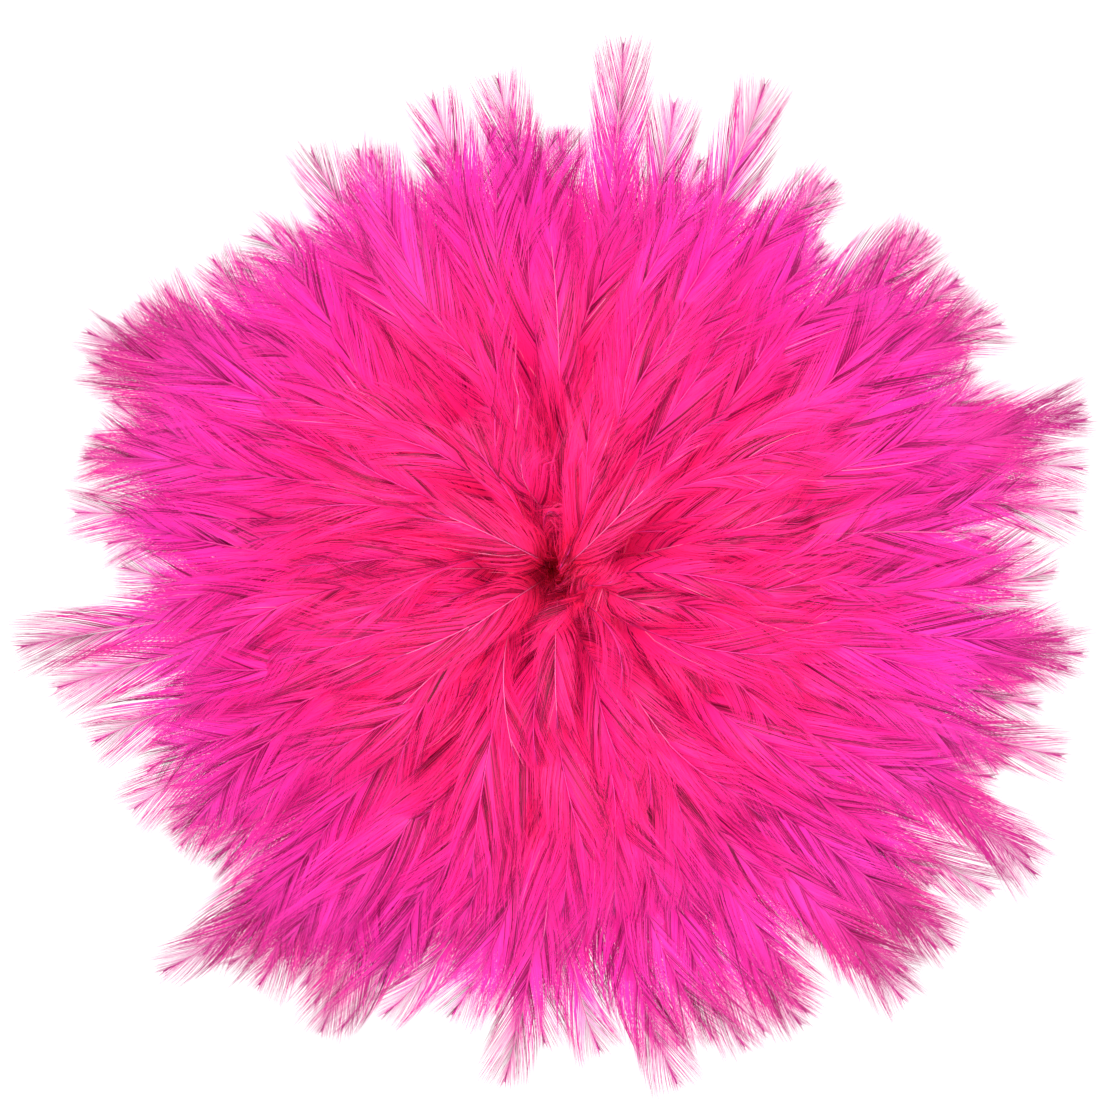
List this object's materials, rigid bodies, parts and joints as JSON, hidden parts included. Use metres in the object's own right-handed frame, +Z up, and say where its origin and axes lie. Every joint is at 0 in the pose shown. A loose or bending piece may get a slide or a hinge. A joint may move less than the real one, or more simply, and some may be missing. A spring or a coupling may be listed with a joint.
{
  "type": "feather boa",
  "caption": "Fluffy hot pink feather boa strip wound into a round rosette, with hackle tufts that spring up and down from a stitched tape roll.",
  "frame": {"origin": "centre of the felt disc's underside, where the rosette stands or is sewn on", "axes": "+Z up through the eye towards the feather tips; +X through the middle of the first skirt tuft"},
  "size_m": [0.3, 0.3, 0.1005],
  "materials": {
    "feather_eye": "matte",
    "feather_crown": "matte",
    "feather_middle": "satin",
    "feather_skirt": "satin",
    "header_tape": "matte",
    "thread": "satin",
    "quill": "satin",
    "satin_ribbon": "satin",
    "felt": "matte"
  },
  "bodies": {
    "roll": {"backing_disc": "felt", "header_tape_inner": "header_tape", "header_tape_outer": "header_tape", "stitch_thread_lower": "thread", "stitch_thread_upper": "thread", "quills": "quill", "neck_ribbon": "satin_ribbon", "ribbon_stitches": "thread"},
    "eye_1": {"tuft_eye_1": "feather_eye"},
    "eye_2": {"tuft_eye_2": "feather_eye"},
    "eye_3": {"tuft_eye_3": "feather_eye"},
    "eye_4": {"tuft_eye_4": "feather_eye"},
    "eye_5": {"tuft_eye_5": "feather_eye"},
    "eye_6": {"tuft_eye_6": "feather_eye"},
    "crown_1": {"tuft_crown_1": "feather_crown"},
    "crown_2": {"tuft_crown_2": "feather_crown"},
    "crown_3": {"tuft_crown_3": "feather_crown"},
    "crown_4": {"tuft_crown_4": "feather_crown"},
    "crown_5": {"tuft_crown_5": "feather_crown"},
    "crown_6": {"tuft_crown_6": "feather_crown"},
    "crown_7": {"tuft_crown_7": "feather_crown"},
    "crown_8": {"tuft_crown_8": "feather_crown"},
    "crown_9": {"tuft_crown_9": "feather_crown"},
    "crown_10": {"tuft_crown_10": "feather_crown"},
    "crown_11": {"tuft_crown_11": "feather_crown"},
    "crown_12": {"tuft_crown_12": "feather_crown"},
    "middle_1": {"tuft_middle_1": "feather_middle"},
    "middle_2": {"tuft_middle_2": "feather_middle"},
    "middle_3": {"tuft_middle_3": "feather_middle"},
    "middle_4": {"tuft_middle_4": "feather_middle"},
    "middle_5": {"tuft_middle_5": "feather_middle"},
    "middle_6": {"tuft_middle_6": "feather_middle"},
    "middle_7": {"tuft_middle_7": "feather_middle"},
    "middle_8": {"tuft_middle_8": "feather_middle"},
    "middle_9": {"tuft_middle_9": "feather_middle"},
    "middle_10": {"tuft_middle_10": "feather_middle"},
    "middle_11": {"tuft_middle_11": "feather_middle"},
    "middle_12": {"tuft_middle_12": "feather_middle"},
    "skirt_1": {"tuft_skirt_1": "feather_skirt"},
    "skirt_2": {"tuft_skirt_2": "feather_skirt"},
    "skirt_3": {"tuft_skirt_3": "feather_skirt"},
    "skirt_4": {"tuft_skirt_4": "feather_skirt"},
    "skirt_5": {"tuft_skirt_5": "feather_skirt"},
    "skirt_6": {"tuft_skirt_6": "feather_skirt"},
    "skirt_7": {"tuft_skirt_7": "feather_skirt"},
    "skirt_8": {"tuft_skirt_8": "feather_skirt"},
    "skirt_9": {"tuft_skirt_9": "feather_skirt"},
    "skirt_10": {"tuft_skirt_10": "feather_skirt"},
    "skirt_11": {"tuft_skirt_11": "feather_skirt"},
    "skirt_12": {"tuft_skirt_12": "feather_skirt"}
  },
  "joints": [
    {"name": "eye_1_lift", "type": "hinge", "parent": "roll", "child": "eye_1", "pos_m": [0.00723, 0, 0.014], "axis": [0, -1, 0], "range_deg": [-1.33, 5.29], "stiffness_Nm_per_rad": 0.02},
    {"name": "eye_2_lift", "type": "hinge", "parent": "roll", "child": "eye_2", "pos_m": [0.00361, 0.00626, 0.014], "axis": [0.866, -0.5, 0], "range_deg": [-1.33, 5.29], "stiffness_Nm_per_rad": 0.02},
    {"name": "eye_3_lift", "type": "hinge", "parent": "roll", "child": "eye_3", "pos_m": [-0.00361, 0.00626, 0.014], "axis": [0.866, 0.5, 0], "range_deg": [-1.33, 5.29], "stiffness_Nm_per_rad": 0.02},
    {"name": "eye_4_lift", "type": "hinge", "parent": "roll", "child": "eye_4", "pos_m": [-0.00723, 0, 0.014], "axis": [0, 1, 0], "range_deg": [-1.33, 5.29], "stiffness_Nm_per_rad": 0.02},
    {"name": "eye_5_lift", "type": "hinge", "parent": "roll", "child": "eye_5", "pos_m": [-0.00361, -0.00626, 0.014], "axis": [-0.866, 0.5, 0], "range_deg": [-1.33, 5.29], "stiffness_Nm_per_rad": 0.02},
    {"name": "eye_6_lift", "type": "hinge", "parent": "roll", "child": "eye_6", "pos_m": [0.00361, -0.00626, 0.014], "axis": [-0.866, -0.5, 0], "range_deg": [-1.33, 5.29], "stiffness_Nm_per_rad": 0.02},
    {"name": "crown_1_lift", "type": "hinge", "parent": "roll", "child": "crown_1", "pos_m": [0.01368, 0, 0.014], "axis": [0, -1, 0], "range_deg": [-2.53, 10.09], "stiffness_Nm_per_rad": 0.03},
    {"name": "crown_2_lift", "type": "hinge", "parent": "roll", "child": "crown_2", "pos_m": [0.01185, 0.00684, 0.014], "axis": [0.5, -0.866, 0], "range_deg": [-2.53, 10.09], "stiffness_Nm_per_rad": 0.03},
    {"name": "crown_3_lift", "type": "hinge", "parent": "roll", "child": "crown_3", "pos_m": [0.00684, 0.01185, 0.014], "axis": [0.866, -0.5, 0], "range_deg": [-2.53, 10.09], "stiffness_Nm_per_rad": 0.03},
    {"name": "crown_4_lift", "type": "hinge", "parent": "roll", "child": "crown_4", "pos_m": [0, 0.01368, 0.014], "axis": [1, 0, 0], "range_deg": [-2.53, 10.09], "stiffness_Nm_per_rad": 0.03},
    {"name": "crown_5_lift", "type": "hinge", "parent": "roll", "child": "crown_5", "pos_m": [-0.00684, 0.01185, 0.014], "axis": [0.866, 0.5, 0], "range_deg": [-2.53, 10.09], "stiffness_Nm_per_rad": 0.03},
    {"name": "crown_6_lift", "type": "hinge", "parent": "roll", "child": "crown_6", "pos_m": [-0.01185, 0.00684, 0.014], "axis": [0.5, 0.866, 0], "range_deg": [-2.53, 10.09], "stiffness_Nm_per_rad": 0.03},
    {"name": "crown_7_lift", "type": "hinge", "parent": "roll", "child": "crown_7", "pos_m": [-0.01368, 0, 0.014], "axis": [0, 1, 0], "range_deg": [-2.53, 10.09], "stiffness_Nm_per_rad": 0.03},
    {"name": "crown_8_lift", "type": "hinge", "parent": "roll", "child": "crown_8", "pos_m": [-0.01185, -0.00684, 0.014], "axis": [-0.5, 0.866, 0], "range_deg": [-2.53, 10.09], "stiffness_Nm_per_rad": 0.03},
    {"name": "crown_9_lift", "type": "hinge", "parent": "roll", "child": "crown_9", "pos_m": [-0.00684, -0.01185, 0.014], "axis": [-0.866, 0.5, 0], "range_deg": [-2.53, 10.09], "stiffness_Nm_per_rad": 0.03},
    {"name": "crown_10_lift", "type": "hinge", "parent": "roll", "child": "crown_10", "pos_m": [0, -0.01368, 0.014], "axis": [-1, 0, 0], "range_deg": [-2.53, 10.09], "stiffness_Nm_per_rad": 0.03},
    {"name": "crown_11_lift", "type": "hinge", "parent": "roll", "child": "crown_11", "pos_m": [0.00684, -0.01185, 0.014], "axis": [-0.866, -0.5, 0], "range_deg": [-2.53, 10.09], "stiffness_Nm_per_rad": 0.03},
    {"name": "crown_12_lift", "type": "hinge", "parent": "roll", "child": "crown_12", "pos_m": [0.01185, -0.00684, 0.014], "axis": [-0.5, -0.866, 0], "range_deg": [-2.53, 10.09], "stiffness_Nm_per_rad": 0.03},
    {"name": "middle_1_lift", "type": "hinge", "parent": "roll", "child": "middle_1", "pos_m": [0.01945, 0.00521, 0.014], "axis": [0.2588, -0.9659, 0], "range_deg": [-4.21, 16.81], "stiffness_Nm_per_rad": 0.05},
    {"name": "middle_2_lift", "type": "hinge", "parent": "roll", "child": "middle_2", "pos_m": [0.01424, 0.01424, 0.014], "axis": [0.7071, -0.7071, 0], "range_deg": [-4.21, 16.81], "stiffness_Nm_per_rad": 0.05},
    {"name": "middle_3_lift", "type": "hinge", "parent": "roll", "child": "middle_3", "pos_m": [0.00521, 0.01945, 0.014], "axis": [0.9659, -0.2588, 0], "range_deg": [-4.21, 16.81], "stiffness_Nm_per_rad": 0.05},
    {"name": "middle_4_lift", "type": "hinge", "parent": "roll", "child": "middle_4", "pos_m": [-0.00521, 0.01945, 0.014], "axis": [0.9659, 0.2588, 0], "range_deg": [-4.21, 16.81], "stiffness_Nm_per_rad": 0.05},
    {"name": "middle_5_lift", "type": "hinge", "parent": "roll", "child": "middle_5", "pos_m": [-0.01424, 0.01424, 0.014], "axis": [0.7071, 0.7071, 0], "range_deg": [-4.21, 16.81], "stiffness_Nm_per_rad": 0.05},
    {"name": "middle_6_lift", "type": "hinge", "parent": "roll", "child": "middle_6", "pos_m": [-0.01945, 0.00521, 0.014], "axis": [0.2588, 0.9659, 0], "range_deg": [-4.21, 16.81], "stiffness_Nm_per_rad": 0.05},
    {"name": "middle_7_lift", "type": "hinge", "parent": "roll", "child": "middle_7", "pos_m": [-0.01945, -0.00521, 0.014], "axis": [-0.2588, 0.9659, 0], "range_deg": [-4.21, 16.81], "stiffness_Nm_per_rad": 0.05},
    {"name": "middle_8_lift", "type": "hinge", "parent": "roll", "child": "middle_8", "pos_m": [-0.01424, -0.01424, 0.014], "axis": [-0.7071, 0.7071, 0], "range_deg": [-4.21, 16.81], "stiffness_Nm_per_rad": 0.05},
    {"name": "middle_9_lift", "type": "hinge", "parent": "roll", "child": "middle_9", "pos_m": [-0.00521, -0.01945, 0.014], "axis": [-0.9659, 0.2588, 0], "range_deg": [-4.21, 16.81], "stiffness_Nm_per_rad": 0.05},
    {"name": "middle_10_lift", "type": "hinge", "parent": "roll", "child": "middle_10", "pos_m": [0.00521, -0.01945, 0.014], "axis": [-0.9659, -0.2588, 0], "range_deg": [-4.21, 16.81], "stiffness_Nm_per_rad": 0.05},
    {"name": "middle_11_lift", "type": "hinge", "parent": "roll", "child": "middle_11", "pos_m": [0.01424, -0.01424, 0.014], "axis": [-0.7071, -0.7071, 0], "range_deg": [-4.21, 16.81], "stiffness_Nm_per_rad": 0.05},
    {"name": "middle_12_lift", "type": "hinge", "parent": "roll", "child": "middle_12", "pos_m": [0.01945, -0.00521, 0.014], "axis": [-0.2588, -0.9659, 0], "range_deg": [-4.21, 16.81], "stiffness_Nm_per_rad": 0.05},
    {"name": "gather", "type": "hinge", "parent": "roll", "child": "skirt_1", "pos_m": [0.02659, 0, 0.014], "axis": [0, -1, 0], "range_deg": [-6, 24], "stiffness_Nm_per_rad": 0.08},
    {"name": "skirt_2_lift", "type": "hinge", "parent": "roll", "child": "skirt_2", "pos_m": [0.02302, 0.01329, 0.014], "axis": [0.5, -0.866, 0], "range_deg": [-6.01, 24.01], "stiffness_Nm_per_rad": 0.08},
    {"name": "skirt_3_lift", "type": "hinge", "parent": "roll", "child": "skirt_3", "pos_m": [0.01329, 0.02302, 0.014], "axis": [0.866, -0.5, 0], "range_deg": [-6.01, 24.01], "stiffness_Nm_per_rad": 0.08},
    {"name": "skirt_4_lift", "type": "hinge", "parent": "roll", "child": "skirt_4", "pos_m": [0, 0.02659, 0.014], "axis": [1, 0, 0], "range_deg": [-6.01, 24.01], "stiffness_Nm_per_rad": 0.08},
    {"name": "skirt_5_lift", "type": "hinge", "parent": "roll", "child": "skirt_5", "pos_m": [-0.01329, 0.02302, 0.014], "axis": [0.866, 0.5, 0], "range_deg": [-6.01, 24.01], "stiffness_Nm_per_rad": 0.08},
    {"name": "skirt_6_lift", "type": "hinge", "parent": "roll", "child": "skirt_6", "pos_m": [-0.02302, 0.01329, 0.014], "axis": [0.5, 0.866, 0], "range_deg": [-6.01, 24.01], "stiffness_Nm_per_rad": 0.08},
    {"name": "skirt_7_lift", "type": "hinge", "parent": "roll", "child": "skirt_7", "pos_m": [-0.02659, 0, 0.014], "axis": [0, 1, 0], "range_deg": [-6.01, 24.01], "stiffness_Nm_per_rad": 0.08},
    {"name": "skirt_8_lift", "type": "hinge", "parent": "roll", "child": "skirt_8", "pos_m": [-0.02302, -0.01329, 0.014], "axis": [-0.5, 0.866, 0], "range_deg": [-6.01, 24.01], "stiffness_Nm_per_rad": 0.08},
    {"name": "skirt_9_lift", "type": "hinge", "parent": "roll", "child": "skirt_9", "pos_m": [-0.01329, -0.02302, 0.014], "axis": [-0.866, 0.5, 0], "range_deg": [-6.01, 24.01], "stiffness_Nm_per_rad": 0.08},
    {"name": "skirt_10_lift", "type": "hinge", "parent": "roll", "child": "skirt_10", "pos_m": [0, -0.02659, 0.014], "axis": [-1, 0, 0], "range_deg": [-6.01, 24.01], "stiffness_Nm_per_rad": 0.08},
    {"name": "skirt_11_lift", "type": "hinge", "parent": "roll", "child": "skirt_11", "pos_m": [0.01329, -0.02302, 0.014], "axis": [-0.866, -0.5, 0], "range_deg": [-6.01, 24.01], "stiffness_Nm_per_rad": 0.08},
    {"name": "skirt_12_lift", "type": "hinge", "parent": "roll", "child": "skirt_12", "pos_m": [0.02302, -0.01329, 0.014], "axis": [-0.5, -0.866, 0], "range_deg": [-6.01, 24.01], "stiffness_Nm_per_rad": 0.08}
  ],
  "couplings": [
    {"joint": "eye_1_lift", "follows": "gather", "ratio": 0.22},
    {"joint": "eye_2_lift", "follows": "gather", "ratio": 0.22},
    {"joint": "eye_3_lift", "follows": "gather", "ratio": 0.22},
    {"joint": "eye_4_lift", "follows": "gather", "ratio": 0.22},
    {"joint": "eye_5_lift", "follows": "gather", "ratio": 0.22},
    {"joint": "eye_6_lift", "follows": "gather", "ratio": 0.22},
    {"joint": "crown_1_lift", "follows": "gather", "ratio": 0.42},
    {"joint": "crown_2_lift", "follows": "gather", "ratio": 0.42},
    {"joint": "crown_3_lift", "follows": "gather", "ratio": 0.42},
    {"joint": "crown_4_lift", "follows": "gather", "ratio": 0.42},
    {"joint": "crown_5_lift", "follows": "gather", "ratio": 0.42},
    {"joint": "crown_6_lift", "follows": "gather", "ratio": 0.42},
    {"joint": "crown_7_lift", "follows": "gather", "ratio": 0.42},
    {"joint": "crown_8_lift", "follows": "gather", "ratio": 0.42},
    {"joint": "crown_9_lift", "follows": "gather", "ratio": 0.42},
    {"joint": "crown_10_lift", "follows": "gather", "ratio": 0.42},
    {"joint": "crown_11_lift", "follows": "gather", "ratio": 0.42},
    {"joint": "crown_12_lift", "follows": "gather", "ratio": 0.42},
    {"joint": "middle_1_lift", "follows": "gather", "ratio": 0.7},
    {"joint": "middle_2_lift", "follows": "gather", "ratio": 0.7},
    {"joint": "middle_3_lift", "follows": "gather", "ratio": 0.7},
    {"joint": "middle_4_lift", "follows": "gather", "ratio": 0.7},
    {"joint": "middle_5_lift", "follows": "gather", "ratio": 0.7},
    {"joint": "middle_6_lift", "follows": "gather", "ratio": 0.7},
    {"joint": "middle_7_lift", "follows": "gather", "ratio": 0.7},
    {"joint": "middle_8_lift", "follows": "gather", "ratio": 0.7},
    {"joint": "middle_9_lift", "follows": "gather", "ratio": 0.7},
    {"joint": "middle_10_lift", "follows": "gather", "ratio": 0.7},
    {"joint": "middle_11_lift", "follows": "gather", "ratio": 0.7},
    {"joint": "middle_12_lift", "follows": "gather", "ratio": 0.7},
    {"joint": "skirt_2_lift", "follows": "gather", "ratio": 1},
    {"joint": "skirt_3_lift", "follows": "gather", "ratio": 1},
    {"joint": "skirt_4_lift", "follows": "gather", "ratio": 1},
    {"joint": "skirt_5_lift", "follows": "gather", "ratio": 1},
    {"joint": "skirt_6_lift", "follows": "gather", "ratio": 1},
    {"joint": "skirt_7_lift", "follows": "gather", "ratio": 1},
    {"joint": "skirt_8_lift", "follows": "gather", "ratio": 1},
    {"joint": "skirt_9_lift", "follows": "gather", "ratio": 1},
    {"joint": "skirt_10_lift", "follows": "gather", "ratio": 1},
    {"joint": "skirt_11_lift", "follows": "gather", "ratio": 1},
    {"joint": "skirt_12_lift", "follows": "gather", "ratio": 1}
  ]
}
